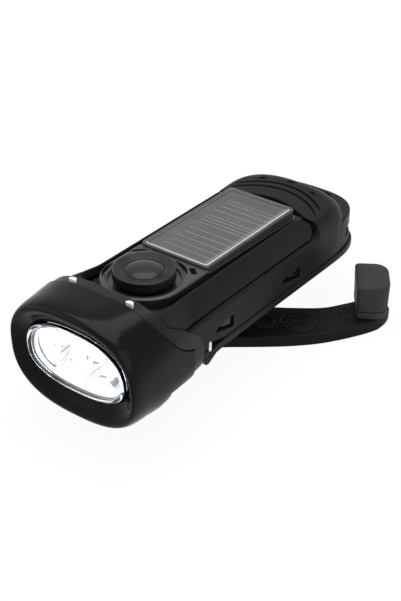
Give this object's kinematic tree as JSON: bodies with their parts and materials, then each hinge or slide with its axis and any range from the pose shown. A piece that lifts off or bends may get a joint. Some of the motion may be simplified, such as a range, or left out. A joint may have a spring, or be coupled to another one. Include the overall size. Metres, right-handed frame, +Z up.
{
  "type": "hand crank flashlight",
  "caption": "Black hand crank flashlight with a flared oval lamp head, a solar module and push button on top, and a crank arm with an upright knob turning under the body.",
  "frame": {"origin": "centre of the bounding box, on the plane that the crank arm's underside rests on", "axes": "+Z up, +Y along the body towards the lanyard tail, the lens looks along -Y, +X to the side the crank arm swings out to"},
  "size_m": [0.0688, 0.1384, 0.047],
  "materials": {
    "head_black": "glossy black",
    "body_black": "satin black",
    "pod_black": "satin dark grey",
    "knob_grey": "matte dark grey",
    "arm_black": "satin black",
    "lug_white": "satin white",
    "clear_lens": "clear polished",
    "seal_rubber": "matte",
    "reflector_chrome": "mirror bright",
    "lamp_white": "clear white",
    "board_green": "solder mask",
    "solar_grey": "grey solar film",
    "silver_line": "thin printed silver",
    "frame_black": "glossy",
    "window_dark": "dark tinted",
    "screw_steel": "zinc plated",
    "shaft_steel": "ground",
    "gear_ivory": "satin",
    "pinion_brass": "turned",
    "magnet_grey": "ferrite grey",
    "coil_copper": "enamelled copper",
    "cell_metal": "nickel plated",
    "switch_black": "matte",
    "plunger_beige": "satin"
  },
  "bodies": {
    "housing": {"head_bezel": "head_black", "head_collar": "body_black", "snap_lug_left": "lug_white", "snap_lug_right": "lug_white", "side_lug_left": "lug_white", "side_lug_right": "lug_white", "lens": "clear_lens", "lens_seal": "seal_rubber", "reflector": "reflector_chrome", "lamp_left": "lamp_white", "lamp_middle": "lamp_white", "lamp_right": "lamp_white", "lamp_board": "board_green", "upper_housing": "body_black", "pod_cover": "pod_black", "bumper_frame": "body_black", "hook_left_front": "head_black", "hook_left_rear": "head_black", "hook_right_front": "head_black", "hook_right_rear": "head_black", "bottom_shell": "body_black", "screw_1": "screw_steel", "screw_2": "screw_steel", "screw_3": "screw_steel", "screw_4": "screw_steel", "solar_frame": "frame_black", "solar_cell": "solar_grey", "cell_lines": "silver_line", "charge_window": "window_dark", "button_spring": "shaft_steel", "switch_body": "switch_black", "circuit_board": "board_green", "battery_front": "cell_metal", "battery_middle": "cell_metal", "battery_rear": "cell_metal", "gear_plate": "gear_ivory", "idler_axle": "shaft_steel", "generator_coil": "coil_copper", "generator_stator": "magnet_grey"},
    "crank": {"crank_shaft": "shaft_steel", "crank_gear": "gear_ivory", "crank_arm": "arm_black", "arm_screw": "screw_steel", "knob_foot": "knob_grey", "knob_pin": "shaft_steel"},
    "knob": {"knob": "knob_grey"},
    "button": {"button_cap": "head_black"},
    "plunger": {"switch_plunger": "plunger_beige"},
    "idler": {"idler_gear": "gear_ivory"},
    "rotor": {"rotor_pinion": "pinion_brass", "rotor_shaft": "shaft_steel", "rotor_magnet": "magnet_grey"}
  },
  "joints": [
    {"name": "crank_turn", "type": "hinge", "parent": "housing", "child": "crank", "pos_m": [-0.00944, 0.00983, 0], "axis": [0, 0, 1], "continuous": true},
    {"name": "knob_spin", "type": "hinge", "parent": "crank", "child": "knob", "pos_m": [0.02707, 0.04853, 0], "axis": [0, 0, 1], "continuous": true},
    {"name": "button_press", "type": "slide", "parent": "housing", "child": "button", "axis": [0, 0, -1], "range_m": [0, 0.0012], "stiffness_N_per_m": 900, "springref_m": -0.0012, "deforming": ["button_spring"]},
    {"name": "plunger_press", "type": "slide", "parent": "housing", "child": "plunger", "axis": [0, 0, -1], "range_m": [0, 0.0012]},
    {"name": "idler_turn", "type": "hinge", "parent": "housing", "child": "idler", "pos_m": [-0.01539, 0.02479, 0], "axis": [0, 0, 1], "continuous": true},
    {"name": "rotor_turn", "type": "hinge", "parent": "housing", "child": "rotor", "pos_m": [-0.0134, 0.03794, 0], "axis": [0, 0, 1], "continuous": true}
  ],
  "couplings": [
    {"joint": "plunger_press", "follows": "button_press", "ratio": 1},
    {"joint": "idler_turn", "follows": "crank_turn", "ratio": -3.6},
    {"joint": "rotor_turn", "follows": "crank_turn", "ratio": 13.5}
  ]
}
